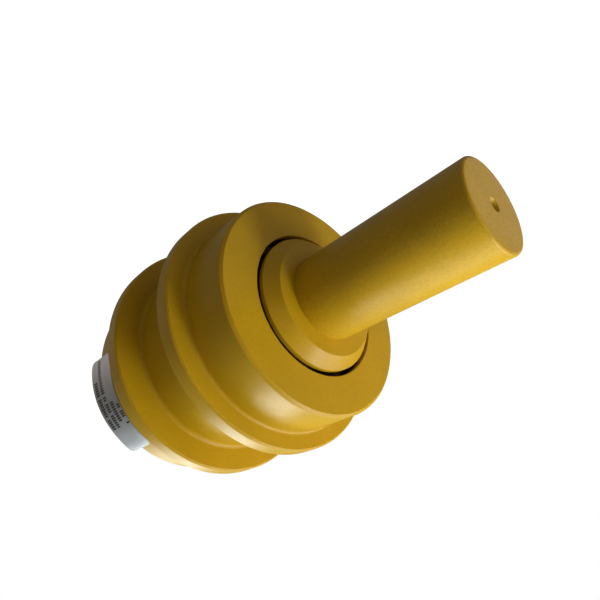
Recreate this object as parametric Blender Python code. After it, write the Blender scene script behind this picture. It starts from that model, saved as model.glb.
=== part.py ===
"""Cantilevered carrier roller: a clamped shaft carries a flanged shell on two plain bearings.

Metres, +Z up. The axis runs along Y and the shaft's free end points towards -Y. A station is the
distance along the axis from that free end, and an outline is a list of (station, radius) points.
The origin sits on the axis, in the middle of the overall length.
"""

import math

import bmesh
import bpy
from mathutils import Matrix

# Space left between two pieces that touch on the real roller, and between two that pass.
GAP = 0.0003
RUNNING_SPACE = 0.001

# Facets round the axis: large visible pieces, hidden rings, fasteners and their holes.
FINE, MEDIUM, COARSE = 48, 32, 12
SHARP_ANGLE = math.radians(35)

# Shaft.
SHAFT_RADIUS = 0.030
FREE_LENGTH = 0.127
SHAFT_CHAMFER = 0.0015
CENTRE_HOLE_RADIUS, CENTRE_HOLE_DEPTH = 0.0032, 0.009
COUNTERSINK_RADIUS, COUNTERSINK_DEPTH = 0.005, 0.0032
GALLERY_RADIUS, CROSS_HOLE_RADIUS = 0.004, 0.003

# Collar.
COLLAR_FACE_RADIUS, COLLAR_RADIUS = 0.0415, 0.049
BEVEL_LENGTH = 0.0085
HUB_RADIUS = 0.034

# Shell.
TREAD_RADIUS, FLANGE_RADIUS, GROOVE_RADIUS = 0.080, 0.093, 0.0735
TREAD_LENGTH, FAR_TREAD_LENGTH = 0.0395, 0.0415
FLANGE_WIDTH, GROOVE_WIDTH = 0.013, 0.0575
TREAD_CHAMFER, FLANGE_CHAMFER = 0.002, 0.0013
GROOVE_FILLET, TREAD_FILLET = 0.006, 0.004
MOUTH_RADIUS, CAVITY_RADIUS, RELIEF_RADIUS = 0.0522, 0.050, 0.040

# Face seal: two metal rings on rubber rings, mirrored about the sealing plane.
SEAL_HOUSING_RADIUS, SEAL_HOUSING_DEPTH = 0.0448, 0.011
SEAL_BORE_RADIUS, SEAL_NECK_RADIUS, SEAL_LIP_RADIUS = 0.0352, 0.0386, 0.0432
SEAL_RING_LENGTH, SEAL_LIP_WIDTH = 0.00985, 0.00315
TORIC_RADIUS, TORIC_SECTION_RADIUS, TORIC_OFFSET = 0.0415, 0.003, 0.00705

# Plain bearings.
BUSH_RADIUS, BUSH_FLANGE_RADIUS, BUSH_FLANGE = 0.0355, 0.0387, 0.003
NEAR_BUSH_LENGTH, FAR_BUSH_LENGTH = 0.045, 0.0412

# Thrust plate on the inner end of the shaft.
THRUST_RADIUS, THRUST_THICKNESS, THRUST_BORE_RADIUS = 0.044, 0.008, 0.006
THRUST_DEPTH = 0.0175
THRUST_BOLT_CIRCLE, THRUST_BOLTS = 0.0175, 3

# End cover, let into the shell's far end.
COVER_RADIUS, COVER_FLANGE, SPIGOT_LENGTH = 0.0715, 0.006, 0.0075
SPIGOT_BORE_RADIUS, COVER_WALL = 0.043, 0.0053
EDGE_CHAMFER = 0.001
BOSS_RADIUS, BOSS_HEIGHT = 0.0145, 0.004
COVER_BOLT_CIRCLE, COVER_BOLTS = 0.060, 6

# M10 fasteners with spring washers.
BOLT_RADIUS, BOLT_ACROSS_FLATS, BOLT_HEAD = 0.005, 0.017, 0.0064
CLEAR_HOLE_RADIUS, TAPPED_HOLE_RADIUS = 0.0055, 0.0053
WASHER_INNER, WASHER_OUTER, WASHER_THICKNESS = 0.0053, 0.009, 0.0022
COVER_BOLT_LENGTH, THRUST_BOLT_LENGTH = 0.025, 0.030

# Oil plug, M16, with its sealing washer.
PLUG_RADIUS, PLUG_HOLE_RADIUS, PLUG_LENGTH = 0.008, 0.0083, 0.0105
PLUG_FLANGE_RADIUS, PLUG_FLANGE, PLUG_HEX = 0.0125, 0.002, 0.0055
PLUG_WASHER = 0.0015

# O-rings: section radius, and the width and floor radius of their grooves.
O_RING_SECTION, O_RING_GROOVE_WIDTH = 0.0010, 0.0036
COLLAR_GROOVE_RADIUS, COVER_GROOVE_RADIUS = 0.0327, 0.0469

# Sticker on the far tread, which it overhangs. Angles run from +Z towards +X.
LABEL_WIDTH, LABEL_OVERHANG, LABEL_THICKNESS = 0.031, 0.014, 0.0004
LABEL_FROM, LABEL_TO = math.radians(47), math.radians(104.5)
LABEL_FACETS = 10

# Stations, from the free end inwards.
BEVEL_END = FREE_LENGTH + BEVEL_LENGTH
SHELL_START = BEVEL_END + 0.001
COLLAR_GROOVE = FREE_LENGTH + 0.0042
SEAL_PLANE = SHELL_START + 0.015
SHOULDER = SEAL_PLANE + SEAL_HOUSING_DEPTH
NEAR_FLANGE = SHELL_START + TREAD_LENGTH
GROOVE_START = NEAR_FLANGE + FLANGE_WIDTH
GROOVE_END = GROOVE_START + GROOVE_WIDTH
FAR_TREAD = GROOVE_END + FLANGE_WIDTH
SHELL_END = FAR_TREAD + FAR_TREAD_LENGTH
COVER_SEAT = SHELL_END - COVER_FLANGE
COVER_FACE = SHELL_END + GAP
BOSS_FACE = COVER_FACE + BOSS_HEIGHT
SPIGOT_END = COVER_SEAT + GAP - SPIGOT_LENGTH
COVER_GROOVE = SPIGOT_END + 0.002
THRUST_FACE = COVER_SEAT - THRUST_DEPTH
THRUST_OUTER_FACE = THRUST_FACE + THRUST_THICKNESS
SHAFT_END = THRUST_FACE - GAP
CROSS_HOLE = (NEAR_FLANGE + FAR_TREAD) / 2
OVERALL_LENGTH = SHELL_END + LABEL_OVERHANG
ORIGIN_STATION = OVERALL_LENGTH / 2


def clear_scene():
    """Removes whatever the open scene holds."""
    for item in list(bpy.data.objects):
        bpy.data.objects.remove(item, do_unlink=True)


def material(name, colour, roughness, metallic):
    """Principled material with one finish."""
    finish = bpy.data.materials.new(name)
    finish.use_nodes = True
    shader = finish.node_tree.nodes["Principled BSDF"]
    shader.inputs["Base Color"].default_value = (*colour, 1)
    shader.inputs["Roughness"].default_value = roughness
    shader.inputs["Metallic"].default_value = metallic
    return finish


def empty(name):
    """Parent empty on the axis at the origin."""
    holder = bpy.data.objects.new(name, None)
    bpy.context.collection.objects.link(holder)
    return holder


def finished_mesh(name, shape):
    """Turns a bmesh into a smooth shaded mesh with its faces pointing out."""
    bmesh.ops.recalc_face_normals(shape, faces=shape.faces)
    mesh = bpy.data.meshes.new(name)
    shape.to_mesh(mesh)
    shape.free()
    mesh.shade_smooth()
    mesh.set_sharp_from_angle(angle=SHARP_ANGLE)
    return mesh


def placed(name, mesh, finish, parent, station, x=0, z=0):
    """Object for a mesh, with its origin at a station."""
    item = bpy.data.objects.new(name, mesh)
    bpy.context.collection.objects.link(item)
    if not mesh.materials:
        mesh.materials.append(finish)
    item.parent = parent
    item.location = (x, station - ORIGIN_STATION, z)
    return item


def sweep_round(shape, section, angle, steps, whole):
    """Sweeps a section round the axis; a whole turn joins its end to its start."""
    bmesh.ops.spin(
        shape,
        geom=section,
        cent=(0, 0, 0),
        axis=(0, 1, 0),
        angle=angle,
        steps=steps,
        use_merge=whole,
    )


def turned(name, outline, sides, finish, parent, ring=True):
    """Turned piece. A ring's outline closes on itself, a solid's ends at two flat caps."""
    start = outline[0][0]
    shape = bmesh.new()
    points = [shape.verts.new((radius, station - start, 0)) for station, radius in outline]
    edges = [shape.edges.new(pair) for pair in zip(points, points[1:])]
    if ring:
        edges.append(shape.edges.new((points[-1], points[0])))
    sweep_round(shape, points + edges, math.tau, sides, whole=True)
    if not ring:
        open_edges = [edge for edge in shape.edges if edge.is_boundary]
        bmesh.ops.holes_fill(shape, edges=open_edges, sides=sides)
    return placed(name, finished_mesh(name, shape), finish, parent, start)


def arc(station, radius, size, start, end, steps=3):
    """Points on a quarter round about (station, radius), angles in degrees from the axis."""
    angles = [math.radians(start + (end - start) * step / steps) for step in range(steps + 1)]
    return [(station + size * math.cos(a), radius + size * math.sin(a)) for a in angles]


def round_section(station, radius, section, sides=8):
    """Outline of a round rubber ring."""
    angles = [math.tau * (side + 0.5) / sides for side in range(sides)]
    return [(station + section * math.cos(a), radius + section * math.sin(a)) for a in angles]


def bolt_circle(count, radius):
    """Places (x, z) evenly round the axis, the first one at the top."""
    angles = [math.tau * index / count for index in range(count)]
    return [(radius * math.sin(a), radius * math.cos(a)) for a in angles]


def rod(shape, radius, length):
    """Adds a round cutter body along Z, centred on the origin, and returns its vertices."""
    made = bmesh.ops.create_cone(
        shape, cap_ends=True, segments=COARSE, radius1=radius, radius2=radius, depth=length
    )
    return made["verts"]


def cut_away(item, name, shape):
    """Subtracts a cutter from an item and keeps it hidden in the scene."""
    cutter = bpy.data.objects.new(name, finished_mesh(name, shape))
    bpy.context.collection.objects.link(cutter)
    cutter.hide_render = True
    cutter.display_type = "WIRE"
    cut = item.modifiers.new(name, "BOOLEAN")
    cut.operation = "DIFFERENCE"
    cut.solver = "EXACT"
    cut.object = cutter


def drill(item, places, radius, start, end):
    """Cuts round holes along the axis between two stations."""
    shape = bmesh.new()
    lay_down = Matrix.Rotation(math.radians(90), 3, "X")
    middle = (start + end) / 2 - ORIGIN_STATION
    for x, z in places:
        verts = rod(shape, radius, end - start)
        bmesh.ops.rotate(shape, verts=verts, cent=(0, 0, 0), matrix=lay_down)
        bmesh.ops.translate(shape, verts=verts, vec=(x, middle, z))
    cut_away(item, item.name + "_holes", shape)


def make_shaft(steel, parent):
    """Shaft: centre hole in the free end, oil gallery and tapped holes in the inner end."""
    gallery_end = CROSS_HOLE - 2 * CROSS_HOLE_RADIUS
    outline = [
        (CENTRE_HOLE_DEPTH, CENTRE_HOLE_RADIUS),
        (COUNTERSINK_DEPTH, CENTRE_HOLE_RADIUS),
        (0, COUNTERSINK_RADIUS),
        (0, SHAFT_RADIUS - SHAFT_CHAMFER),
        (SHAFT_CHAMFER, SHAFT_RADIUS),
        (SHAFT_END - SHAFT_CHAMFER, SHAFT_RADIUS),
        (SHAFT_END, SHAFT_RADIUS - SHAFT_CHAMFER),
        (SHAFT_END, GALLERY_RADIUS),
        (gallery_end, GALLERY_RADIUS),
    ]
    shaft = turned("shaft", outline, FINE, steel, parent, ring=False)
    places = bolt_circle(THRUST_BOLTS, THRUST_BOLT_CIRCLE)
    depth = THRUST_BOLT_LENGTH - THRUST_THICKNESS
    drill(shaft, places, TAPPED_HOLE_RADIUS, SHAFT_END - depth, SHAFT_END + depth)
    cross = bmesh.new()
    verts = rod(cross, CROSS_HOLE_RADIUS, 2 * SHAFT_RADIUS)
    bmesh.ops.translate(cross, verts=verts, vec=(0, CROSS_HOLE - ORIGIN_STATION, SHAFT_RADIUS))
    cut_away(shaft, "shaft_cross_hole", cross)


def make_collar(steel, parent):
    """Collar: bevelled outside, a cup for the seal, and a hub that the near bush runs against."""
    bore = SHAFT_RADIUS + GAP
    groove_end = COLLAR_GROOVE + O_RING_GROOVE_WIDTH
    cup_floor = SEAL_PLANE - SEAL_HOUSING_DEPTH
    cup_rim = SEAL_PLANE - RUNNING_SPACE
    outline = [
        (FREE_LENGTH, bore),
        (FREE_LENGTH, COLLAR_FACE_RADIUS),
        (BEVEL_END, COLLAR_RADIUS),
        (cup_rim, COLLAR_RADIUS),
        (cup_rim, SEAL_HOUSING_RADIUS),
        (cup_floor, SEAL_HOUSING_RADIUS),
        (cup_floor, HUB_RADIUS),
        (SHOULDER - GAP, HUB_RADIUS),
        (SHOULDER - GAP, bore),
        (groove_end, bore),
        (groove_end, COLLAR_GROOVE_RADIUS),
        (COLLAR_GROOVE, COLLAR_GROOVE_RADIUS),
        (COLLAR_GROOVE, bore),
    ]
    turned("shaft_collar", outline, FINE, steel, parent)


def make_o_ring(name, groove_start, low, high, rubber, parent):
    """O-ring midway in its groove, between the groove's floor and the wall it seals."""
    middle = groove_start + O_RING_GROOVE_WIDTH / 2
    outline = round_section(middle, (low + high) / 2, O_RING_SECTION, sides=6)
    turned(name, outline, MEDIUM, rubber, parent)


def make_seal_half(prefix, side, steel, rubber, parent):
    """Metal ring and rubber ring of the face seal; side is -1 for the collar's, 1 for the shell's."""
    distances = [
        (SEAL_RING_LENGTH, SEAL_BORE_RADIUS),
        (GAP / 2, SEAL_BORE_RADIUS),
        (GAP / 2, SEAL_LIP_RADIUS),
        (SEAL_LIP_WIDTH, SEAL_LIP_RADIUS),
        (SEAL_LIP_WIDTH + EDGE_CHAMFER, SEAL_NECK_RADIUS),
        (SEAL_RING_LENGTH, SEAL_NECK_RADIUS - EDGE_CHAMFER),
    ]
    outline = [(SEAL_PLANE + side * distance, radius) for distance, radius in distances]
    turned(prefix + "_seal_ring", outline, MEDIUM, steel, parent)
    rubber_outline = round_section(SEAL_PLANE + side * TORIC_OFFSET, TORIC_RADIUS, TORIC_SECTION_RADIUS)
    turned(prefix + "_toric_ring", rubber_outline, MEDIUM, rubber, parent)


def shell_outside():
    """Outer outline of the shell, from its near face to its far face."""
    flank_edge = FLANGE_RADIUS - FLANGE_CHAMFER
    near_low = TREAD_RADIUS + TREAD_FILLET
    groove_low = GROOVE_RADIUS + GROOVE_FILLET
    outline = [
        (SHELL_START, TREAD_RADIUS - TREAD_CHAMFER),
        (SHELL_START + TREAD_CHAMFER, TREAD_RADIUS),
        *arc(NEAR_FLANGE - TREAD_FILLET, near_low, TREAD_FILLET, -90, 0),
    ]
    outline += flange_rim(NEAR_FLANGE, GROOVE_START, flank_edge)
    outline += arc(GROOVE_START + GROOVE_FILLET, groove_low, GROOVE_FILLET, 180, 270)
    outline += arc(GROOVE_END - GROOVE_FILLET, groove_low, GROOVE_FILLET, -90, 0)
    outline += flange_rim(GROOVE_END, FAR_TREAD, flank_edge)
    outline += [
        *arc(FAR_TREAD + TREAD_FILLET, near_low, TREAD_FILLET, 180, 270),
        (SHELL_END - TREAD_CHAMFER, TREAD_RADIUS),
        (SHELL_END, TREAD_RADIUS - TREAD_CHAMFER),
    ]
    return outline


def flange_rim(start, end, edge_radius):
    """Chamfered rim of a guide flange."""
    return [
        (start, edge_radius),
        (start + FLANGE_CHAMFER, FLANGE_RADIUS),
        (end - FLANGE_CHAMFER, FLANGE_RADIUS),
        (end, edge_radius),
    ]


def make_shell(steel, parent):
    """Shell: two treads, two flanges, bush seats, seal housing and a seat for the cover."""
    seat = BUSH_RADIUS + GAP
    flange_seat = BUSH_FLANGE_RADIUS + GAP
    near_seat = SHOULDER + BUSH_FLANGE + GAP
    far_seat = SHAFT_END - BUSH_FLANGE - GAP
    relief_start = SHOULDER + NEAR_BUSH_LENGTH + RUNNING_SPACE
    relief_end = SHAFT_END - FAR_BUSH_LENGTH - RUNNING_SPACE
    relief_slope = 2 * RUNNING_SPACE
    cavity_floor = THRUST_FACE - RUNNING_SPACE
    inside = [
        (SHELL_END, COVER_RADIUS + GAP),
        (COVER_SEAT, COVER_RADIUS + GAP),
        (COVER_SEAT, CAVITY_RADIUS),
        (cavity_floor, CAVITY_RADIUS),
        (cavity_floor, flange_seat),
        (far_seat, flange_seat),
        (far_seat, seat),
        (relief_end, seat),
        (relief_end - relief_slope, RELIEF_RADIUS),
        (relief_start + relief_slope, RELIEF_RADIUS),
        (relief_start, seat),
        (near_seat, seat),
        (near_seat, flange_seat),
        (SHOULDER, flange_seat),
        (SHOULDER, SEAL_HOUSING_RADIUS),
        (SEAL_PLANE + RUNNING_SPACE, SEAL_HOUSING_RADIUS),
        (SEAL_PLANE + RUNNING_SPACE, MOUTH_RADIUS),
        (SHELL_START, MOUTH_RADIUS),
    ]
    shell = turned("roller_shell", shell_outside() + inside, FINE, steel, parent)
    places = bolt_circle(COVER_BOLTS, COVER_BOLT_CIRCLE)
    depth = COVER_BOLT_LENGTH - COVER_FLANGE
    drill(shell, places, TAPPED_HOLE_RADIUS, COVER_SEAT - depth, COVER_SEAT + depth)


def make_bush(name, face, side, length, bronze, parent):
    """Flanged plain bearing; its flange face is at a station and its sleeve runs to that side."""
    bore = SHAFT_RADIUS + GAP
    distances = [
        (0, bore),
        (0, BUSH_FLANGE_RADIUS),
        (BUSH_FLANGE, BUSH_FLANGE_RADIUS),
        (BUSH_FLANGE, BUSH_RADIUS),
        (length, BUSH_RADIUS),
        (length, bore),
    ]
    outline = [(face + side * distance, radius) for distance, radius in distances]
    turned(name, outline, MEDIUM, bronze, parent)


def make_thrust_plate(steel, parent):
    """Disc on the shaft's inner end, with its bolt holes and an oil passage."""
    outline = [
        (THRUST_FACE, THRUST_BORE_RADIUS),
        (THRUST_FACE, THRUST_RADIUS - EDGE_CHAMFER),
        (THRUST_FACE + EDGE_CHAMFER, THRUST_RADIUS),
        (THRUST_OUTER_FACE - EDGE_CHAMFER, THRUST_RADIUS),
        (THRUST_OUTER_FACE, THRUST_RADIUS - EDGE_CHAMFER),
        (THRUST_OUTER_FACE, THRUST_BORE_RADIUS),
    ]
    plate = turned("thrust_plate", outline, MEDIUM, steel, parent)
    places = bolt_circle(THRUST_BOLTS, THRUST_BOLT_CIRCLE)
    margin = THRUST_THICKNESS / 2
    drill(plate, places, CLEAR_HOLE_RADIUS, THRUST_FACE - margin, THRUST_OUTER_FACE + margin)


def make_cover(steel, parent):
    """End cover: flange in the shell's recess, hollow spigot with an O-ring groove, plug boss."""
    back = COVER_SEAT + GAP
    spigot_radius = CAVITY_RADIUS - GAP
    spigot_chamfer = EDGE_CHAMFER / 2
    groove_end = COVER_GROOVE + O_RING_GROOVE_WIDTH
    inner_face = COVER_FACE - COVER_WALL
    dish = 2 * EDGE_CHAMFER
    outline = [
        (BOSS_FACE, PLUG_HOLE_RADIUS),
        (inner_face, PLUG_HOLE_RADIUS),
        (inner_face, SPIGOT_BORE_RADIUS - dish),
        (inner_face - dish, SPIGOT_BORE_RADIUS),
        (SPIGOT_END, SPIGOT_BORE_RADIUS),
        (SPIGOT_END, spigot_radius - spigot_chamfer),
        (SPIGOT_END + spigot_chamfer, spigot_radius),
        (COVER_GROOVE, spigot_radius),
        (COVER_GROOVE, COVER_GROOVE_RADIUS),
        (groove_end, COVER_GROOVE_RADIUS),
        (groove_end, spigot_radius),
        (back, spigot_radius),
        (back, COVER_RADIUS),
        (COVER_FACE - EDGE_CHAMFER, COVER_RADIUS),
        (COVER_FACE, COVER_RADIUS - EDGE_CHAMFER),
        (COVER_FACE, BOSS_RADIUS + EDGE_CHAMFER),
        (BOSS_FACE - EDGE_CHAMFER, BOSS_RADIUS),
        (BOSS_FACE, BOSS_RADIUS - EDGE_CHAMFER),
    ]
    cover = turned("end_cover", outline, FINE, steel, parent)
    places = bolt_circle(COVER_BOLTS, COVER_BOLT_CIRCLE)
    margin = COVER_FLANGE / 2
    drill(cover, places, CLEAR_HOLE_RADIUS, back - margin, COVER_FACE + margin)


def round_ring(radius):
    """Radius of a circle in any direction."""
    return lambda angle: radius


def hexagon(across_flats):
    """Distance from a hexagon's centre to its side in any direction."""
    sixth = math.pi / 3
    return lambda angle: across_flats / 2 / math.cos(angle % sixth - sixth / 2)


def stacked(name, rings):
    """Solid through rings of (height along Y, radius in a direction), closed by flat caps."""
    shape = bmesh.new()
    angles = [math.tau * index / COARSE for index in range(COARSE)]
    loops = []
    for height, radius_at in rings:
        corners = [(radius_at(a) * math.cos(a), height, radius_at(a) * math.sin(a)) for a in angles]
        loops.append([shape.verts.new(corner) for corner in corners])
    for low, high in zip(loops, loops[1:]):
        for index in range(COARSE):
            after = (index + 1) % COARSE
            shape.faces.new((low[index], low[after], high[after], high[index]))
    shape.faces.new(loops[0])
    shape.faces.new(loops[-1])
    return finished_mesh(name, shape)


def bolt_mesh(name, length):
    """Hexagon head bolt, head towards +Y, with the head's underside at its origin."""
    rings = [
        (-length, round_ring(BOLT_RADIUS - EDGE_CHAMFER)),
        (EDGE_CHAMFER - length, round_ring(BOLT_RADIUS)),
        (0, round_ring(BOLT_RADIUS)),
        (0, hexagon(BOLT_ACROSS_FLATS)),
        (BOLT_HEAD - EDGE_CHAMFER, hexagon(BOLT_ACROSS_FLATS)),
        (BOLT_HEAD, round_ring(BOLT_ACROSS_FLATS / 2)),
    ]
    return stacked(name, rings)


def spring_washer_mesh():
    """Split ring of square section."""
    shape = bmesh.new()
    corners = [
        (WASHER_INNER, 0, 0),
        (WASHER_OUTER, 0, 0),
        (WASHER_OUTER, WASHER_THICKNESS, 0),
        (WASHER_INNER, WASHER_THICKNESS, 0),
    ]
    section = shape.faces.new([shape.verts.new(corner) for corner in corners])
    start = [section, *section.edges, *section.verts]
    sweep_round(shape, start, math.radians(345), COARSE, whole=False)
    return finished_mesh("spring_washer", shape)


def make_bolts(prefix, count, circle, seat, length, zinc, parent):
    """Bolts with spring washers on a circle, seated on a face at a station."""
    bolt = bolt_mesh(prefix + "_bolt", length)
    washer = spring_washer_mesh()
    underside = seat + WASHER_THICKNESS + 2 * GAP
    for number, (x, z) in enumerate(bolt_circle(count, circle), start=1):
        placed(f"{prefix}_bolt_{number}", bolt, zinc, parent, underside, x, z)
        placed(f"{prefix}_bolt_washer_{number}", washer, zinc, parent, seat + GAP, x, z)


def make_oil_plug(zinc, copper, parent):
    """Filler plug in the cover's boss, with its flat sealing washer."""
    underside = BOSS_FACE + PLUG_WASHER + 2 * GAP
    rings = [
        (-PLUG_LENGTH, round_ring(PLUG_RADIUS - EDGE_CHAMFER)),
        (EDGE_CHAMFER - PLUG_LENGTH, round_ring(PLUG_RADIUS)),
        (0, round_ring(PLUG_RADIUS)),
        (0, round_ring(PLUG_FLANGE_RADIUS)),
        (PLUG_FLANGE, round_ring(PLUG_FLANGE_RADIUS)),
        (PLUG_FLANGE, hexagon(BOLT_ACROSS_FLATS)),
        (PLUG_FLANGE + PLUG_HEX - EDGE_CHAMFER, hexagon(BOLT_ACROSS_FLATS)),
        (PLUG_FLANGE + PLUG_HEX, round_ring(BOLT_ACROSS_FLATS / 2)),
    ]
    placed("oil_plug", stacked("oil_plug", rings), zinc, parent, underside)
    seat = BOSS_FACE + GAP
    outline = [
        (seat, PLUG_HOLE_RADIUS),
        (seat, PLUG_FLANGE_RADIUS),
        (seat + PLUG_WASHER, PLUG_FLANGE_RADIUS),
        (seat + PLUG_WASHER, PLUG_HOLE_RADIUS),
    ]
    turned("oil_plug_washer", outline, MEDIUM, copper, parent)


def make_label(foil, parent):
    """Sticker: a thin sheet bent round the far tread."""
    radius = TREAD_RADIUS + GAP
    start = OVERALL_LENGTH - LABEL_WIDTH
    shape = bmesh.new()
    rows = []
    for index in range(LABEL_FACETS + 1):
        angle = LABEL_FROM + (LABEL_TO - LABEL_FROM) * index / LABEL_FACETS
        x, z = radius * math.sin(angle), radius * math.cos(angle)
        rows.append([shape.verts.new((x, along, z)) for along in (0, LABEL_WIDTH)])
    for low, high in zip(rows, rows[1:]):
        shape.faces.new((low[0], high[0], high[1], low[1]))
    label = placed("tread_label", finished_mesh("tread_label", shape), foil, parent, start)
    thick = label.modifiers.new("thickness", "SOLIDIFY")
    thick.thickness = LABEL_THICKNESS
    thick.offset = 1
    thick.use_even_offset = True


def build():
    """Builds the roller."""
    clear_scene()
    paint = material("ochre_paint", (0.50, 0.28, 0.02), 0.42, 0.0)
    ground = material("ground_steel", (0.55, 0.54, 0.52), 0.25, 1.0)
    plate_steel = material("plain_steel", (0.35, 0.35, 0.36), 0.45, 1.0)
    zinc = material("zinc_plate", (0.62, 0.60, 0.52), 0.35, 1.0)
    copper = material("copper_washer", (0.72, 0.36, 0.20), 0.35, 1.0)
    bronze = material("bush_bronze", (0.62, 0.42, 0.20), 0.40, 1.0)
    rubber = material("black_rubber", (0.02, 0.02, 0.02), 0.80, 0.0)
    foil = material("silver_foil", (0.38, 0.39, 0.39), 0.40, 0.3)

    fixed = empty("machine_side")
    turning = empty("turning_side")

    make_shaft(paint, fixed)
    make_collar(paint, fixed)
    make_o_ring("collar_o_ring", COLLAR_GROOVE, SHAFT_RADIUS, COLLAR_GROOVE_RADIUS, rubber, fixed)
    make_seal_half("fixed", -1, ground, rubber, fixed)
    make_thrust_plate(plate_steel, fixed)
    seat = THRUST_OUTER_FACE
    make_bolts("thrust", THRUST_BOLTS, THRUST_BOLT_CIRCLE, seat, THRUST_BOLT_LENGTH, zinc, fixed)

    make_shell(paint, turning)
    make_seal_half("turning", 1, ground, rubber, turning)
    make_bush("near_bush", SHOULDER, 1, NEAR_BUSH_LENGTH, bronze, turning)
    make_bush("far_bush", SHAFT_END, -1, FAR_BUSH_LENGTH, bronze, turning)
    make_cover(paint, turning)
    make_o_ring("cover_o_ring", COVER_GROOVE, COVER_GROOVE_RADIUS, CAVITY_RADIUS, rubber, turning)
    make_bolts("cover", COVER_BOLTS, COVER_BOLT_CIRCLE, COVER_FACE, COVER_BOLT_LENGTH, zinc, turning)
    make_oil_plug(zinc, copper, turning)
    make_label(foil, turning)


build()
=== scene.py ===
import math

import bmesh
import bpy
from mathutils import Matrix, Vector


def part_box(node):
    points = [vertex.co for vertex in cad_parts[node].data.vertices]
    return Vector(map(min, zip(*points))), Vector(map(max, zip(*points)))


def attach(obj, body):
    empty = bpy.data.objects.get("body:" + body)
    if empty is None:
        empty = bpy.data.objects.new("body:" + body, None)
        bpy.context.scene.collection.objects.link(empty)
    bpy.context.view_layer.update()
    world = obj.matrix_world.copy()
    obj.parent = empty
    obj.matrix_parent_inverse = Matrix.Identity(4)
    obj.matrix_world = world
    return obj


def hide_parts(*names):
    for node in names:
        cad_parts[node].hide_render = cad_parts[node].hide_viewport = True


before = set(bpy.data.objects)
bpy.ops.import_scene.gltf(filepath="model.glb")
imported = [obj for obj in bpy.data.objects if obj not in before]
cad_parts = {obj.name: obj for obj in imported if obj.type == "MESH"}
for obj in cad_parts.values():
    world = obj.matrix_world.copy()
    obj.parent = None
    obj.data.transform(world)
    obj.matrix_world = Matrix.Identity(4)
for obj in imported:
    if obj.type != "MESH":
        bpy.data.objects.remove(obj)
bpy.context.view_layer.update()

# The finished surfaces of a cantilevered carrier roller, in metres. The roller turns about the Y
# axis, and the shaft's free end points towards -Y. Each finished piece takes its place and its
# outer sizes from the CAD node that it stands for. An outline is a list of corners (place along
# the axis, radius, rounding), and its last corner joins its first unless it ends in flat caps.

# Facets round the axis of large and small pieces and of holes.
LARGE, SMALL, HOLE = 256, 72, 48

# The angle between two facets of a rounded corner, and how far from the rounding a flat face gets
# a supporting edge, in parts of the rounding.
CORNER_STEP = math.radians(15)
SUPPORT = 0.15

# Edges that turn by more than this angle, in degrees, stay crisp.
CRISP, HEXAGON_CRISP = 50, 32

# How far inside the guide flanges' rims the treads and the groove lie.
TREAD_DROP, GROOVE_DROP = 0.0130, 0.0195

# How far the boss round the filler plug stands off the cover's face.
BOSS_HEIGHT = 0.0040

# Fasteners: M10 bolts and an M16 plug with the same hexagon. A head stands on a round face.
BOLT_RADIUS, PLUG_RADIUS, PITCH = 0.005, 0.008, 0.0015
ACROSS_FLATS = 0.017
HEAD_FACE, HEAD_FACE_HEIGHT = ACROSS_FLATS * 0.475, 0.0004
BOLT_HEAD, PLUG_HEAD, PLUG_FLANGE = 0.0064, 0.0055, 0.002
BOLT_CLEARANCE, TAPPED_HOLE = 0.0055, 0.0053
TURN_BETWEEN_BOLTS = math.radians(137.5)

# The sticker: where it starts and ends round the axis, its corners, and the part left loose.
STICKER_START, STICKER_END = math.radians(47), math.radians(104.5)
STICKER_CORNER, STICKER_THICKNESS, STICKER_LOOSE = 0.0045, 0.00025, 0.014
STICKER_COLUMNS, STICKER_ROWS = 120, 32

# Tints of the lamps.
NEUTRAL, WARM, COOL = (1.0, 1.0, 1.0), (1.0, 0.87, 0.74), (0.93, 1.0, 0.95)


# ---------------------------------------------------------------- measures from the frame


def span(node_name):
    """Start and end of a node along the axis."""
    low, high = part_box(node_name)
    return low.y, high.y


def radius_of(node_name):
    """Outer radius of a round node."""
    low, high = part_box(node_name)
    return (high.x - low.x) / 2


def centre_of(node_name):
    """Middle of a node's box."""
    low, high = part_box(node_name)
    return (low + high) / 2


def bolt_places(prefix, count):
    """Places (x, z) of a ring of bolts."""
    centres = [centre_of(f"{prefix}_bolt_{number}") for number in range(1, count + 1)]
    return [(centre.x, centre.z) for centre in centres]


# ---------------------------------------------------------------- outlines


def rounded(corners):
    """Outline with an arc at each corner that states a rounding."""
    points = [Vector((y, radius)) for y, radius, _ in corners]
    outline = []
    for index, (_, _, size) in enumerate(corners):
        here = points[index]
        if size == 0:
            outline.append(here)
            continue
        following = points[(index + 1) % len(points)]
        outline += corner_arc(points[index - 1], here, following, size)
    return outline


def corner_arc(before, here, following, size):
    """Arc that touches both sides of a corner, with a supporting point before and after it."""
    way_in = (here - before).normalized()
    way_out = (following - here).normalized()
    turn = way_in.angle_signed(way_out)
    reach = size * math.tan(abs(turn) / 2)
    start = here - way_in * reach
    end = here + way_out * reach
    side = Vector((-way_in.y, way_in.x)) * math.copysign(1, -turn)
    centre = start + side * size
    steps = max(2, round(abs(turn) / CORNER_STEP))
    arc = [start - way_in * size * SUPPORT]
    for step in range(steps + 1):
        arm = Matrix.Rotation(-turn * step / steps, 2) @ (start - centre)
        arc.append(centre + arm)
    arc.append(end + way_out * size * SUPPORT)
    return arc


# ---------------------------------------------------------------- meshes


def even_angles(count):
    """Directions evenly round a circle."""
    return [math.tau * index / count for index in range(count)]


def corner_angles(count):
    """Directions round a circle, crowded together at the corners of a hexagon."""
    crowding = 0.85
    return [angle - crowding * math.sin(6 * angle) / 6 for angle in even_angles(count)]


def circle(radius):
    """Radius of a circle in any direction."""
    return lambda angle: radius


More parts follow.
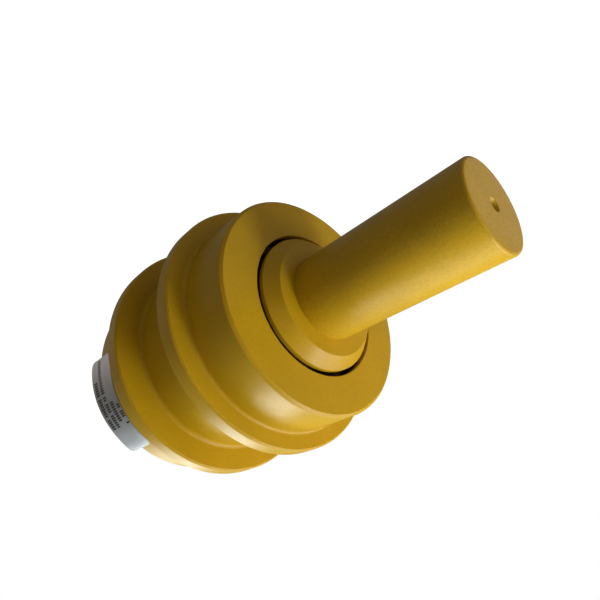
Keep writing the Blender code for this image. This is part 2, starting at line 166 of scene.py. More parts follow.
def hexagon(largest=math.inf):
    """Radius of a bolt's hexagon with softened corners, cut down to a largest radius."""
    sharpness = 70

    def radius_at(angle):
        total = 0
        for side in range(6):
            facing = math.cos(angle - math.radians(30 + 60 * side))
            total += max(0, facing) ** sharpness
        return min(largest, ACROSS_FLATS / 2 / total ** (1 / sharpness))

    return radius_at


def thread(radius, depth, y):
    """Radius of a screw thread at a height, in any direction."""

    def radius_at(angle):
        phase = (y / PITCH - angle / math.tau) % 1
        return radius - depth * abs(2 * phase - 1)

    return radius_at


def loop(shape, y, radius_at, angles):
    """Closed ring of vertices about the Y axis."""
    places = [(radius_at(a) * math.cos(a), y, radius_at(a) * math.sin(a)) for a in angles]
    return [shape.verts.new(place) for place in places]


def join_loops(shape, low, high):
    """Band of faces between two rings of vertices."""
    for index, corner in enumerate(low):
        following = (index + 1) % len(low)
        shape.faces.new((corner, low[following], high[following], high[index]))


def join_all(shape, loops):
    """Bands of faces from each ring of vertices to the next."""
    for low, high in zip(loops, loops[1:]):
        join_loops(shape, low, high)


def cap_both(shape, loops):
    """Flat faces over the first and the last ring of vertices."""
    shape.faces.new(loops[0])
    shape.faces.new(loops[-1])


def smooth(mesh, sharp):
    """Smooth shading up to an angle in degrees."""
    mesh.shade_smooth()
    mesh.set_sharp_from_angle(angle=math.radians(sharp))


def finished(name, shape, sharp=CRISP):
    """Smooth mesh from a bmesh, which is used up."""
    bmesh.ops.recalc_face_normals(shape, faces=shape.faces)
    mesh = bpy.data.meshes.new(name)
    shape.to_mesh(mesh)
    shape.free()
    smooth(mesh, sharp)
    return mesh


def placed(mesh):
    """Object for a mesh, in the scene and named like it."""
    return linked(mesh.name, mesh)


def linked(name, mesh):
    """Object for a mesh, in the scene."""
    piece = bpy.data.objects.new(name, mesh)
    bpy.context.scene.collection.objects.link(piece)
    return piece


def turned(name, corners, facets=LARGE, ring=True):
    """Piece turned about the Y axis. A ring closes on itself, and a solid ends in flat caps."""
    shape = bmesh.new()
    angles = even_angles(facets)
    loops = [loop(shape, y, circle(radius), angles) for y, radius in rounded(corners)]
    join_all(shape, loops)
    if ring:
        join_loops(shape, loops[-1], loops[0])
    else:
        cap_both(shape, loops)
    return placed(finished(name, shape))


def stacked(name, rings):
    """Mesh of a fastener through rings of (y, radius in a direction), closed by flat caps."""
    shape = bmesh.new()
    angles = corner_angles(SMALL)
    loops = [loop(shape, y, radius_at, angles) for y, radius_at in rings]
    join_all(shape, loops)
    cap_both(shape, loops)
    return finished(name, shape, HEXAGON_CRISP)


def drill(piece, places, radius, low, high):
    """Cuts round holes along Y into a piece, between two places on the axis."""
    shape = bmesh.new()
    for x, z in places:
        made = bmesh.ops.create_cone(
            shape, cap_ends=True, segments=HOLE, radius1=radius, radius2=radius, depth=high - low
        )
        lay_down = Matrix.Rotation(math.pi / 2, 4, "X")
        move = Matrix.Translation((x, (low + high) / 2, z))
        bmesh.ops.transform(shape, matrix=move @ lay_down, verts=made["verts"])
    cut(piece, placed(finished(piece.name + "_holes", shape)))


def cut(piece, cutter):
    """Subtracts a cutter from a piece for good, and removes the cutter."""
    difference = piece.modifiers.new("cut", "BOOLEAN")
    difference.solver = "EXACT"
    difference.object = cutter
    bpy.context.view_layer.update()
    evaluated = piece.evaluated_get(bpy.context.evaluated_depsgraph_get())
    result = bpy.data.meshes.new_from_object(evaluated)
    piece.modifiers.remove(difference)
    piece.data = result
    weld(result)
    smooth(result, CRISP)
    bpy.data.objects.remove(cutter)


def weld(mesh):
    """Joins the vertices that all but coincide where a cut met a corner."""
    nearness = 0.000002
    shape = bmesh.new()
    shape.from_mesh(mesh)
    bmesh.ops.remove_doubles(shape, verts=shape.verts, dist=nearness)
    shape.to_mesh(mesh)
    shape.free()


# ---------------------------------------------------------------- finish helpers


def node(tree, kind, inputs=None, **settings):
    """Adds a shader node. An input is a plain value, or another node's output to link from."""
    made = tree.nodes.new("ShaderNode" + kind)
    for key, value in settings.items():
        setattr(made, key, value)
    for key, value in (inputs or {}).items():
        feed(tree, made.inputs[key], value)
    return made


def feed(tree, socket, value):
    """Links another node's output to an input, or sets a plain value on it."""
    if isinstance(value, bpy.types.NodeSocket):
        tree.links.new(value, socket)
    else:
        socket.default_value = value


def wire(tree, shader, **inputs):
    """Feeds a shader's inputs by name, with underscores for the spaces."""
    for key, value in inputs.items():
        feed(tree, shader.inputs[key.replace("_", " ")], value)


def maths(tree, operation, *values):
    """Output of a maths node."""
    return node(tree, "Math", dict(enumerate(values)), operation=operation).outputs[0]


def noise(tree, where, scale, detail=2.0, roughness=0.5):
    """Grey noise pattern; its scale is in cells per metre."""
    inputs = {"Vector": where, "Scale": scale, "Detail": detail, "Roughness": roughness}
    return node(tree, "TexNoise", inputs).outputs["Fac"]


def ramp(tree, value, low, high, start=0.0, end=1.0):
    """Maps a value between two limits onto a range, and holds it at the ends."""
    inputs = {"Value": value, "From Min": low, "From Max": high, "To Min": start, "To Max": end}
    return node(tree, "MapRange", inputs).outputs["Result"]


def blend_colours(tree, factor, first, second):
    """Mixes two colours, each an output or three plain values."""
    mix = node(tree, "Mix", {0: factor}, data_type="RGBA")
    for socket, value in ((mix.inputs[6], first), (mix.inputs[7], second)):
        feed(tree, socket, (*value, 1) if isinstance(value, tuple) else value)
    return mix.outputs[2]


def place_on_piece(tree):
    """Place on the piece, in metres, which moves with it."""
    return node(tree, "TexCoord").outputs["Object"]


def turning_space(tree, round_scale):
    """Place on a turned piece: across its turning marks, and on a small scale round the axis."""
    place = node(tree, "SeparateXYZ", {0: place_on_piece(tree)}).outputs
    squares = [maths(tree, "POWER", place[axis], 2.0) for axis in ("X", "Z")]
    radius = maths(tree, "SQRT", maths(tree, "ADD", *squares))
    across = maths(tree, "ADD", place["Y"], radius)
    round_x = maths(tree, "MULTIPLY", maths(tree, "DIVIDE", place["X"], radius), round_scale)
    round_z = maths(tree, "MULTIPLY", maths(tree, "DIVIDE", place["Z"], radius), round_scale)
    return node(tree, "CombineXYZ", {0: across, 1: round_x, 2: round_z}).outputs[0]


def bump(tree, height, depth, under=None):
    """Normal of a relief; its depth is in metres. It may lie on another relief."""
    inputs = {"Height": height, "Distance": depth, "Strength": 1.0}
    if under is not None:
        inputs["Normal"] = under
    return node(tree, "Bump", inputs).outputs[0]


def new_finish(name):
    """New material; returns it, its node tree and its Principled shader."""
    finish = bpy.data.materials.new(name)
    finish.use_nodes = True
    return finish, finish.node_tree, finish.node_tree.nodes["Principled BSDF"]


# ---------------------------------------------------------------- finishes


def enamel(name, grain_depth, marks_depth, mottling):
    """Satin ochre enamel over turned steel: depths of its grain and tool marks, and its mottling."""
    deep, full = (0.49, 0.300, 0.005), (0.56, 0.346, 0.009)
    dirty, chalky = (0.40, 0.245, 0.007), (0.66, 0.45, 0.06)
    finish, tree, shader = new_finish(name)
    place = place_on_piece(tree)
    clouds = noise(tree, place, 24.0, detail=4.0, roughness=0.6)
    grains = noise(tree, place, 560.0, roughness=0.65)
    flecks = noise(tree, place, 1300.0, detail=1.0)
    marks = noise(tree, turning_space(tree, 0.0006), 1500.0, roughness=0.7)
    colour = blend_colours(tree, ramp(tree, clouds, 0.3, 0.7), deep, full)
    colour = blend_colours(tree, ramp(tree, grains, 0.48, 0.74, 0, mottling), colour, dirty)
    colour = blend_colours(tree, ramp(tree, flecks, 0.66, 0.74, 0, 0.5), colour, chalky)
    wire(
        tree,
        shader,
        Base_Color=colour,
        Roughness=ramp(tree, grains, 0.3, 0.7, 0.30, 0.42),
        Specular_IOR_Level=0.28,
        Normal=bump(tree, marks, marks_depth, bump(tree, grains, grain_depth)),
    )
    return finish


def metal(name, colour, dark, roughness, marks_depth):
    """Turned or plated metal in two tones, with fine marks round its axis."""
    finish, tree, shader = new_finish(name)
    clouds = noise(tree, place_on_piece(tree), 160.0, detail=4.0)
    marks = noise(tree, turning_space(tree, 0.0008), 2200.0, detail=3.0, roughness=0.7)
    wire(
        tree,
        shader,
        Base_Color=blend_colours(tree, ramp(tree, clouds, 0.35, 0.7), colour, dark),
        Metallic=1.0,
        Roughness=ramp(tree, marks, 0.3, 0.7, roughness - 0.06, roughness + 0.10),
        Normal=bump(tree, marks, marks_depth),
    )
    return finish


def rubber():
    """Matt black seal rubber."""
    finish, tree, shader = new_finish("seal_rubber")
    grains = noise(tree, place_on_piece(tree), 1500.0, detail=3.0)
    wire(
        tree,
        shader,
        Base_Color=blend_colours(tree, grains, (0.012, 0.012, 0.013), (0.030, 0.030, 0.031)),
        Roughness=ramp(tree, grains, 0.3, 0.7, 0.62, 0.82),
        Normal=bump(tree, grains, 0.00002),
    )
    return finish


def print_place(tree):
    """Place on the sticker, from 0 to 1: X along its rows of print, and Y from row to row."""
    return node(tree, "SeparateXYZ", {0: node(tree, "UVMap", uv_map="print").outputs[0]}).outputs


def dashes(tree):
    """Rows of short dashes on the sticker, in place of print: 1 on a dash and 0 beside it."""
    first_row, row_pitch, half_height = 0.17, 0.243, 0.38
    rows_start, row_ends = 0.28, (0.78, 0.98, 0.54, 0.52)
    dashes_along, inked_share, gaps = 42.0, 0.76, 0.16
    place = print_place(tree)
    past_first = maths(tree, "DIVIDE", maths(tree, "SUBTRACT", place["Y"], first_row), row_pitch)
    rows = maths(tree, "ADD", past_first, 0.5)
    row = maths(tree, "FLOOR", rows)
    off_line = maths(tree, "ABSOLUTE", maths(tree, "SUBTRACT", maths(tree, "FRACT", rows), 0.5))
    strokes = maths(tree, "MULTIPLY", place["X"], dashes_along)
    cell = node(tree, "CombineXYZ", {0: maths(tree, "FLOOR", strokes), 1: row}).outputs[0]
    chance = node(tree, "TexWhiteNoise", {"Vector": cell}, noise_dimensions="2D").outputs["Value"]
    height = ramp(tree, chance, 0.0, 1.0, half_height * 0.7, half_height)
    row_end = 0.0
    for index, length in enumerate(row_ends):
        on_row = maths(tree, "COMPARE", row, index, 0.5)
        row_end = maths(tree, "MULTIPLY_ADD", on_row, length, row_end)
    tests = (
        maths(tree, "GREATER_THAN", place["X"], rows_start),
        maths(tree, "LESS_THAN", place["X"], row_end),
        maths(tree, "LESS_THAN", off_line, height),
        maths(tree, "LESS_THAN", maths(tree, "FRACT", strokes), inked_share),
        maths(tree, "GREATER_THAN", chance, gaps),
    )
    inked = 1.0
    for test in tests:
        inked = maths(tree, "MULTIPLY", inked, test)
    return inked


def foil():
    """Silver sticker film with painted shade in its middle, where its reflection is dimmer, and rows of
    dark dashes in place of print.
    """
    grey, bright = (0.58, 0.64, 0.72), (0.72, 0.78, 0.86)
    painted_shade, ink = (0.13, 0.145, 0.16), (0.004, 0.004, 0.005)
    finish, tree, shader = new_finish("printed_foil")
    clouds = noise(tree, place_on_piece(tree), 90.0, detail=3.0)
    inked = dashes(tree)
    off_middle = maths(tree, "ABSOLUTE", maths(tree, "SUBTRACT", print_place(tree)["X"], 0.5))
    film = blend_colours(tree, clouds, grey, bright)
    # Painted shade: the film darkens towards its middle, in place of the dimmer reflection there.
    film = blend_colours(tree, ramp(tree, off_middle, 0.0, 0.45, 0.7, 0.0), film, painted_shade)
    wire(
        tree,
        shader,
        Base_Color=blend_colours(tree, inked, film, ink),
        Metallic=ramp(tree, inked, 0.0, 1.0, 0.45, 0.0),
        Roughness=ramp(tree, clouds, 0.3, 0.7, 0.28, 0.38),
        Normal=bump(tree, clouds, 0.0004),
    )
    return finish


def paper():
    """Off-white backing of the sticker, with a trace of dust in its glue."""
    shade, white, dirt = (0.55, 0.54, 0.50), (0.66, 0.65, 0.61), (0.30, 0.26, 0.19)
    finish, tree, shader = new_finish("sticker_backing")
    place = place_on_piece(tree)
    fibres = noise(tree, place, 2600.0, detail=3.0, roughness=0.7)
    dust = noise(tree, place, 260.0, detail=4.0)
    colour = blend_colours(tree, fibres, shade, white)
    wire(
        tree,
        shader,
        Base_Color=blend_colours(tree, ramp(tree, dust, 0.55, 0.75, 0, 0.6), colour, dirt),
        Roughness=ramp(tree, dust, 0.3, 0.7, 0.45, 0.70),
        Normal=bump(tree, fibres, 0.00002),
    )
    return finish


# ---------------------------------------------------------------- pieces


def stand_in(piece, cad_node, body, slot, *finishes):
    """Puts a piece with its finishes on a body, in the place of a CAD node."""
    for finish in finishes:
        piece.data.materials.append(finish)
    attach(piece, body)
    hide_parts(cad_node)


def bare_and_shaded_inside(piece, low, high, radius):
    """Gives the second finish to the faces that lie inside a radius, between two places. That finish is
    dark bare steel, which also stands as painted shade in the hollows.
    """
    for face in piece.data.polygons:
        centre = face.center
        if low < centre.y < high and math.hypot(centre.x, centre.z) < radius:
            face.material_index = 1


def shaft_piece():
    """Shaft with a centre hole in its free end, and an oil gallery and tapped holes in the other."""
    start, end = span("shaft")
    radius = radius_of("shaft")
    centre_hole, centre_depth = 0.0027, 0.0140
    countersink, countersink_depth = 0.0046, 0.0030
    gallery, gallery_depth = 0.0040, 0.0550
    chamfer, tapped_depth = 0.0010, 0.022
    corners = [
        (start + centre_depth, centre_hole, 0),
        (start + countersink_depth, centre_hole, 0.0004),
        (start, countersink, 0.0004),
        (start, radius, 0.0021),
        (end - chamfer, radius, 0.0004),
        (end, radius - chamfer, 0.0004),
        (end, gallery, 0.0003),
        (end - gallery_depth, gallery, 0),
    ]
    shaft = turned("turned_shaft", corners, ring=False)
    drill(shaft, bolt_places("thrust", 3), TAPPED_HOLE, end - tapped_depth, end + tapped_depth)
    return shaft


def collar_piece():
    """Bevelled collar tight on the shaft, with the cup for the face seal, painted outside only. Past
    the paint it is dark bare steel, darkened further as painted shade in the seal gap.
    """
    start, end = span("shaft_collar")
    radius = radius_of("shaft_collar")
    bore = radius_of("shaft") + 0.00002
    bevel_width, bevel_end = 0.0075, start + 0.0085
    paint_end = bevel_end + 0.0030
    cup_rim = start + 0.0235
    cup, cup_floor = radius - 0.0042, cup_rim - 0.0100
    sleeve = bore + 0.0040
    groove_start, groove_end, groove = start + 0.0042, start + 0.0078, bore + 0.0027
    corners = [
        (start, bore, 0),
        (start, radius - bevel_width, 0.0005),
        (bevel_end, radius, 0.0006),
        (paint_end, radius, 0),
        (cup_rim, radius, 0.0006),
        (cup_rim, cup, 0.0005),
        (cup_floor, cup, 0.0008),
        (cup_floor, sleeve, 0.0008),
        (end, sleeve, 0.0005),
        (end, bore, 0.0004),
        (groove_end, bore, 0.0002),
        (groove_end, groove, 0.0003),
        (groove_start, groove, 0.0003),
        (groove_start, bore, 0.0002),
    ]
    collar = turned("bevelled_collar", corners)
    margin = 0.001
    # Past the paint the collar gets the dark steel, which doubles as painted shade in the seal gap.
    bare_and_shaded_inside(collar, paint_end, end + margin, radius + margin)
    return collar


def guide_flange(near, far, radius):
    """Corners of a guide flange's rim, with a small bevel on both sides."""
    bevel = 0.0013
    return [
        (near, radius - bevel, 0.0007),
        (near + bevel, radius, 0.0009),
        (far - bevel, radius, 0.0009),
        (far, radius - bevel, 0.0007),
    ]


def shell_outside(start, end, flange):
    """Corners of the near tread, the two guide flanges with the groove between, and the far tread."""
    tread, groove = flange - TREAD_DROP, flange - GROOVE_DROP
    near_tread, flange_width, groove_width = 0.0395, 0.0130, 0.0575
    tread_fillet, groove_fillet = 0.0025, 0.0035
    bevel_width, bevel_length = 0.0020, 0.0018
    near_flange = start + near_tread
    groove_start = near_flange + flange_width
    groove_end = groove_start + groove_width
    far_tread = groove_end + flange_width
    return [
        (start, tread - bevel_width, 0.0007),
        (start + bevel_length, tread, 0.0012),
        (near_flange, tread, tread_fillet),
        *guide_flange(near_flange, groove_start, flange),
        (groove_start, groove, groove_fillet),
        (groove_end, groove, groove_fillet),
        *guide_flange(groove_end, far_tread, flange),
        (far_tread, tread, tread_fillet),
        (end - bevel_length, tread, 0.0012),
        (end, tread - bevel_width, 0.0007),
    ]


def shell_inside(start, paint_end, cover_seat, end, recess):
    """Corners of the cover's recess, the oil space, the seats of the bushes and the seal housing."""
    cavity, cavity_floor = 0.0500, cover_seat - 0.0185
    bush_flange, flange_depth = radius_of("near_bush") + 0.0001, 0.0024
    sleeve = 0.0356
    shoulder = start + 0.0260
    sleeve_start = shoulder + 0.0032
    seal_housing, housing, mouth = start + 0.0160, 0.0448, 0.0522
    return [
        (end, recess, 0.0004),
        (cover_seat, recess, 0.0003),
        (cover_seat, cavity, 0.0005),
        (cavity_floor, cavity, 0.0010),
        (cavity_floor, bush_flange, 0.0004),
        (cavity_floor - flange_depth, bush_flange, 0.0002),
        (cavity_floor - flange_depth, sleeve, 0.0003),
        (sleeve_start, sleeve, 0.0003),
        (sleeve_start, bush_flange, 0.0002),
        (shoulder, bush_flange, 0.0004),
        (shoulder, housing, 0.0008),
        (seal_housing, housing, 0.0006),
        (seal_housing, mouth, 0.0010),
        (paint_end, mouth, 0),
        (start, mouth, 0.0007),
    ]


def shell_piece():
    """Flanged shell, painted outside and bare inside, with tapped holes for the cover's bolts. The dark
    bare steel inside is also painted shade in the seal gap.
    """
    start, end = span("roller_shell")
    recess = radius_of("end_cover") + 0.0003
    paint_end, cover_seat = start + 0.0045, end - 0.0060
    corners = shell_outside(start, end, radius_of("roller_shell"))
    corners += shell_inside(start, paint_end, cover_seat, end, recess)
    shell = turned("flanged_shell", corners)
    depth, margin = 0.019, 0.001
    drill(shell, bolt_places("cover", 6), TAPPED_HOLE, cover_seat - depth, cover_seat + depth)
    # Inside, the shell gets the dark steel, which doubles as painted shade in the seal gap and hollows.
    bare_and_shaded_inside(shell, paint_end, end - margin, recess + margin / 2)
    return shell


def cover_piece():
    """End cover: a flange let into the shell, a hollow spigot and a boss for the filler plug."""
    spigot_end, boss_face = span("end_cover")
    radius = radius_of("end_cover")
    face = boss_face - BOSS_HEIGHT
    back = face - 0.0060
    spigot, hollow, hollow_floor = 0.0498, 0.0430, face - 0.0053
    boss, hole = 0.0145, 0.0083
    groove_start, groove_end, groove = spigot_end + 0.0020, spigot_end + 0.0056, 0.0469
    chamfer, reach = 0.0008, 0.003
    corners = [
        (boss_face, hole, 0.0005),
        (hollow_floor, hole, 0.0005),
        (hollow_floor, hollow, 0.0025),
        (spigot_end, hollow, 0.0005),
        (spigot_end, spigot, 0.0007),
        (groove_start, spigot, 0.0002),
        (groove_start, groove, 0.0003),
        (groove_end, groove, 0.0003),
        (groove_end, spigot, 0.0002),
        (back, spigot, 0.0005),
        (back, radius, 0.0005),
        (face - chamfer, radius, 0.0004),
        (face, radius - chamfer, 0.0004),
        (face, boss, 0.0020),
        (boss_face - chamfer, boss, 0.0004),
        (boss_face, boss - chamfer, 0.0004),
    ]
    cover = turned("far_cover", corners)
    drill(cover, bolt_places("cover", 6), BOLT_CLEARANCE, back - reach, face + reach)
    return cover


def hexagon_rings(base, top):
    """Rings of a hexagon with a chamfered top."""
    chamfer, steps = 0.0013, 6
    cone_slope = math.tan(math.radians(30))
    rings = [(base, hexagon())]
    for step in range(steps + 1):
        drop = chamfer * (1 - step / steps)
        rings.append((top - drop, hexagon(HEAD_FACE + drop / cone_slope)))
    return rings


def threaded(radius, tip, end):
    """Rings of a threaded shank with a chamfered tip, from the tip up to its end."""
    depth, chamfer = 0.6 * PITCH, 0.0006
    rise = PITCH / 6
    steps = round((end - tip - 2 * PITCH) / rise)
    rings = [(tip, circle(radius - depth - chamfer))]
    for step in range(steps + 1):
        y = tip + chamfer + step * rise
        rings.append((y, thread(radius, depth, y)))
    plain_start = tip + chamfer + steps * rise + PITCH / 2
    rings.append((plain_start, circle(radius)))
    rings.append((end, circle(radius)))
    return rings


def bolt_mesh(name, length):
    """Hexagon bolt with the underside of its head at the origin and its tip towards -Y."""
    rings = threaded(BOLT_RADIUS, -length, 0)
    rings += [(0, circle(HEAD_FACE)), (HEAD_FACE_HEIGHT, circle(HEAD_FACE))]
    rings += hexagon_rings(HEAD_FACE_HEIGHT, BOLT_HEAD)
    return stacked(name, rings)


def washer_mesh(name, thickness):
    """Spring washer: a split ring with slanted ends and softened edges, seated at the origin."""
    inner, outer, soft, steps = 0.0053, 0.0089, 0.0002, 60
    start, length, slant = math.radians(8), math.radians(344), math.radians(4.9)
    outline = rounded(
        [(0, inner, soft), (0, outer, soft), (thickness, outer, soft), (thickness, inner, soft)]
    )
    shape = bmesh.new()
    sections = []
    for step in range(steps + 1):
        section = []
        for y, radius in outline:
            angle = start + length * step / steps + slant * (y / thickness - 0.5)
            section.append(shape.verts.new((radius * math.cos(angle), y, radius * math.sin(angle))))
        sections.append(section)
    join_all(shape, sections)
    cap_both(shape, sections)
    return finished(name, shape)


def bolt_ring(prefix, count, seat, body, zinc):
    """Bolts with their spring washers, each turned to its own angle."""
    tip, top = span(f"{prefix}_bolt_1")
    underside = top - BOLT_HEAD
    bolt = bolt_mesh(prefix + "_hex_bolt", underside - tip)
    washer = washer_mesh(prefix + "_lock_washer", underside - seat)
    for mesh in (bolt, washer):
        mesh.materials.append(zinc)
    for number in range(1, count + 1):
        centre = centre_of(f"{prefix}_bolt_{number}")
        parts = (
            (f"{prefix}_hex_bolt_{number}", bolt, underside, f"{prefix}_bolt_{number}"),
            (f"{prefix}_lock_washer_{number}", washer, seat, f"{prefix}_bolt_washer_{number}"),
        )
        for name, mesh, y, cad_node in parts:
            piece = linked(name, mesh)
            piece.location = (centre.x, y, centre.z)
            piece.rotation_euler.y = TURN_BETWEEN_BOLTS * number
            stand_in(piece, cad_node, body, "zinc_plate")


def plug_piece():
    """Filler plug with a flange and a hexagon head."""
    tip, top = span("oil_plug")
    flange_top = top - PLUG_HEAD
    underside = flange_top - PLUG_FLANGE
    flange = radius_of("oil_plug")
    lower_chamfer, upper_chamfer = 0.0003, 0.0005
    rings = threaded(PLUG_RADIUS, tip, underside)
    rings += [
        (underside, circle(flange - lower_chamfer)),
        (underside + lower_chamfer, circle(flange)),
        (flange_top - upper_chamfer, circle(flange)),
        (flange_top, circle(flange - upper_chamfer)),
    ]
    rings += hexagon_rings(flange_top + HEAD_FACE_HEIGHT, top)
    return placed(stacked("filler_plug", rings))


def plug_washer_piece():
    """Flat copper washer under the plug."""
    low, high = span("oil_plug_washer")
    outer = radius_of("oil_plug_washer")
    inner, soft = 0.0083, 0.0003
    corners = [(low, inner, soft), (low, outer, soft), (high, outer, soft), (high, inner, soft)]
    return turned("plug_seal", corners, SMALL)


def sticker_place(across, along, low, high, radius, level):
    """Place on the sticker, from fractions across and along it, and its level above a radius."""
    y = low + (high - low) * (math.sin(math.pi * (across - 0.5)) / 2 + 0.5)
    from_side = max(0, STICKER_CORNER - min(y - low, high - y))
    drawn_in = STICKER_CORNER - math.sqrt(max(0, STICKER_CORNER**2 - from_side**2))
    first, last = STICKER_START + drawn_in / radius, STICKER_END - drawn_in / radius
    angle = first + (last - first) * along
    loose = max(0, y - (high - STICKER_LOOSE)) / STICKER_LOOSE
    lift = 0.0004 * loose * loose * math.sin(5 * angle)
    distance = radius + level + lift
    return distance * math.sin(angle), y, distance * math.cos(angle)


def sheet_border(sheet):
    """Vertices round the border of a grid."""
    right = [line[-1] for line in sheet[1:-1]]
    left = [line[0] for line in sheet[-2:0:-1]]
    return sheet[0] + right + sheet[-1][::-1] + left


def map_print(shape, print_map, low, high):
    """Maps the sticker's print: X along the rows, and Y from its loose edge inwards."""
    for face in shape.faces:
        for corner in face.loops:
            place = corner.vert.co
            angle = math.atan2(place.x, place.z)
            along = (angle - STICKER_START) / (STICKER_END - STICKER_START)
            corner[print_map].uv = (along, (high - place.y) / (high - low))


def sticker_piece():
    """Thin sheet with rounded corners, wrapped round the far tread and standing past its end."""
    low, high = span("tread_label")
    glue = 0.00005
    radius = radius_of("roller_shell") - TREAD_DROP + glue
    shape = bmesh.new()
    print_map = shape.loops.layers.uv.new("print")
    sheets = []
    for level in (0, STICKER_THICKNESS):
        sheet = []
        for row in range(STICKER_ROWS + 1):
            across = row / STICKER_ROWS
            steps = [column / STICKER_COLUMNS for column in range(STICKER_COLUMNS + 1)]
            places = [sticker_place(across, along, low, high, radius, level) for along in steps]
            sheet.append([shape.verts.new(place) for place in places])
        sheets.append(sheet)
    for sheet, finish in zip(sheets, (1, 0)):
        for lower, upper in zip(sheet, sheet[1:]):
            for column in range(STICKER_COLUMNS):
                corners = (lower[column], lower[column + 1], upper[column + 1], upper[column])
                shape.faces.new(corners).material_index = finish
    join_all(shape, [sheet_border(sheet) for sheet in sheets])
    map_print(shape, print_map, low, high)
    return placed(finished("blank_sticker", shape))


# ---------------------------------------------------------------- studio


def softbox(name, tilt, lean, distance, size, glow, tint=NEUTRAL):
    """Rectangular soft light that faces the origin.

    Its direction tilts from straight up towards +Y, and leans round the Y axis towards +X. Its two
    sizes, round the axis and along it, are angles in degrees too, and glow is its radiance.
    """
    light = bpy.data.lights.new(name, "AREA")
    light.shape = "RECTANGLE"
    light.size, light.size_y = (2 * distance * math.tan(math.radians(angle) / 2) for angle in size)
    light.energy = glow * math.pi * light.size * light.size_y
    light.color = tint
    lamp = bpy.data.objects.new(name, light)
    bpy.context.scene.collection.objects.link(lamp)
    tilted = Matrix.Rotation(-math.radians(tilt), 4, "X")
    leaning = Matrix.Rotation(math.radians(lean), 4, "Y")
    lamp.matrix_world = leaning @ tilted @ Matrix.Translation((0, 0, distance))
    lamp.visible_camera = False


def softboxes():
    """A row of soft boxes over the roller, and weak fills at its ends, its sides and below."""
    softbox("back_box", 47, 0, 1.2, (24, 30), 8.2, COOL)
    softbox("top_back_box", 15, -14, 1.2, (44, 28), 2.3, COOL)
    softbox("top_box", -15, -16, 1.0, (44, 28), 2.9)
    softbox("key_box", -34, -10, 0.9, (14, 15), 16.5)
    softbox("high_left_box", -20, -46, 1.0, (12, 14), 8.0)
    softbox("front_box", -52, -18, 0.5, (40, 40), 1.1, WARM)
    softbox("front_fill", -78, 0, 1.0, (60, 24), 0.7, WARM)
    softbox("left_fill", 0, -110, 1.2, (50, 50), 0.85, WARM)
    softbox("low_back_fill", 70, 150, 1.2, (40, 40), 0.45, WARM)
    softbox("low_front_fill", -60, -140, 1.2, (60, 40), 0.3, WARM)
    softbox("right_fill", 0, 80, 1.2, (60, 60), 0.12, WARM)


def surroundings():
    """White backdrop for the camera, which lights the roller only faintly."""
    faint, full = 0.2, 1.0
    world = bpy.data.worlds.new("surroundings")
    bpy.context.scene.world = world
    world.use_nodes = True
    tree = world.node_tree
    seen = node(tree, "LightPath").outputs["Is Camera Ray"]
    colour = blend_colours(tree, seen, WARM, NEUTRAL)
    strength = ramp(tree, seen, 0.0, 1.0, faint, full)
    wire(tree, tree.nodes["Background"], Color=colour, Strength=strength)


def floor():
    """Pale floor well below the roller. It shines white to the camera, and throws back little light."""
    drop, half_side = 0.6, 6.0
    shape = bmesh.new()
    corners = ((-1, -1), (1, -1), (1, 1), (-1, 1))
    shape.faces.new([shape.verts.new((x * half_side, y * half_side, -drop)) for x, y in corners])
    plane = placed(finished("studio_floor", shape))
    finish, tree, shader = new_finish("pale_floor")
    grain = noise(tree, place_on_piece(tree), 9.0, detail=3.0)
    wire(
        tree,
        shader,
        Base_Color=blend_colours(tree, grain, (0.16, 0.16, 0.16), (0.20, 0.20, 0.20)),
        Roughness=0.9,
        Emission_Color=(1, 1, 1, 1),
        Emission_Strength=node(tree, "LightPath").outputs["Is Camera Ray"],
    )
    plane.data.materials.append(finish)


def camera():
    """Camera beside the shaft's free end, looking back along the roller with its head down."""
    free_end = span("shaft")[0]
    place = Vector((0.2675, free_end - 0.0870, 0.0990))
    aim = Vector((-0.0124, free_end + 0.1468, 0.0067))
    roll = Matrix.Rotation(math.radians(163.6), 3, "Z")
    lens = bpy.data.cameras.new("camera")
    lens.lens = 31.44
    lens.sensor_width = 36
    lens.shift_x, lens.shift_y = -0.0367, 0.030
    lens.clip_start = 0.01
    viewer = bpy.data.objects.new("camera", lens)
    bpy.context.scene.collection.objects.link(viewer)
    facing = (aim - place).to_track_quat("-Z", "Y").to_matrix()
    viewer.location = place
    viewer.rotation_euler = (facing @ roll).to_euler()
    bpy.context.scene.camera = viewer


def studio():
    """Backdrop, floor, lights and camera, with colours shown as they are."""
    bpy.context.scene.view_settings.view_transform = "Standard"
    surroundings()
    floor()
    softboxes()
    camera()


# ---------------------------------------------------------------- the roller


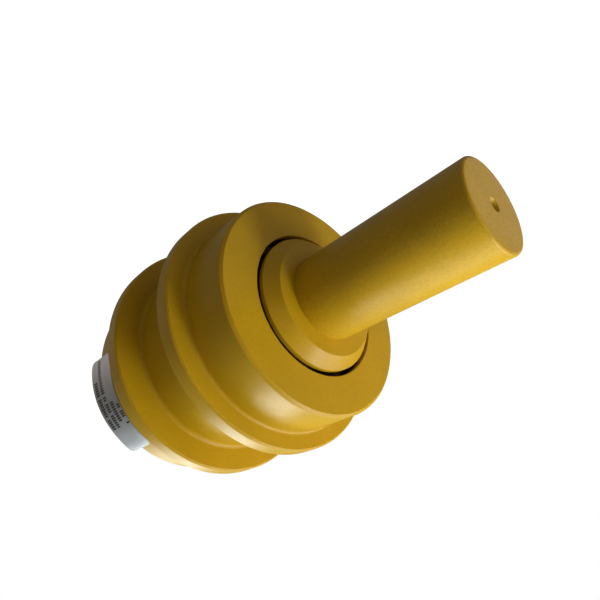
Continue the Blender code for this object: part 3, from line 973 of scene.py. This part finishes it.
def finish_hidden_parts():
    """Gives the CAD parts inside the roller their metals and rubber."""
    bronze = metal("bearing_bronze", (0.62, 0.42, 0.20), (0.48, 0.30, 0.13), 0.38, 0.000004)
    ground = metal("ground_steel", (0.58, 0.57, 0.55), (0.46, 0.45, 0.44), 0.22, 0.000002)
    plain = metal("plain_steel", (0.36, 0.36, 0.37), (0.24, 0.24, 0.25), 0.42, 0.000006)
    seal = rubber()
    finishes = {
        "near_bush": bronze,
        "far_bush": bronze,
        "fixed_seal_ring": ground,
        "turning_seal_ring": ground,
        "thrust_plate": plain,
        "fixed_toric_ring": seal,
        "turning_toric_ring": seal,
        "collar_o_ring": seal,
        "cover_o_ring": seal,
    }
    for name, finish in finishes.items():
        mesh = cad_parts[name].data
        mesh.materials.clear()
        mesh.materials.append(finish)


def build_roller():
    """Makes every finished piece and puts it on its body."""
    smooth_paint = enamel("smooth_ochre_enamel", 0.00005, 0.00001, 0.3)
    grainy_paint = enamel("grainy_ochre_enamel", 0.00020, 0.00004, 0.6)
    zinc = metal("zinc_plating", (0.62, 0.60, 0.52), (0.50, 0.49, 0.43), 0.34, 0.000004)
    # Dark greased steel for the insides: partly its own colour, and partly painted shade that darkens
    # the seal gap.
    greased_and_shaded = metal("greased_steel_and_painted_shade", (0.20, 0.115, 0.055), (0.09, 0.050, 0.024), 0.45, 0.000006)
    copper = metal("soft_copper", (0.72, 0.36, 0.20), (0.55, 0.25, 0.13), 0.34, 0.000004)
    stand_in(shaft_piece(), "shaft", "shaft_assembly", "ochre_paint", grainy_paint)
    stand_in(collar_piece(), "shaft_collar", "shaft_assembly", "ochre_paint", smooth_paint, greased_and_shaded)
    stand_in(shell_piece(), "roller_shell", "roller", "ochre_paint", smooth_paint, greased_and_shaded)
    stand_in(cover_piece(), "end_cover", "roller", "ochre_paint", smooth_paint)
    bolt_ring("cover", 6, span("end_cover")[1] - BOSS_HEIGHT, "roller", zinc)
    bolt_ring("thrust", 3, span("thrust_plate")[1], "shaft_assembly", zinc)
    stand_in(plug_piece(), "oil_plug", "roller", "zinc_plate", zinc)
    stand_in(plug_washer_piece(), "oil_plug_washer", "roller", "copper_washer", copper)
    stand_in(sticker_piece(), "tread_label", "roller", "silver_foil", foil(), paper())
    finish_hidden_parts()


build_roller()
studio()
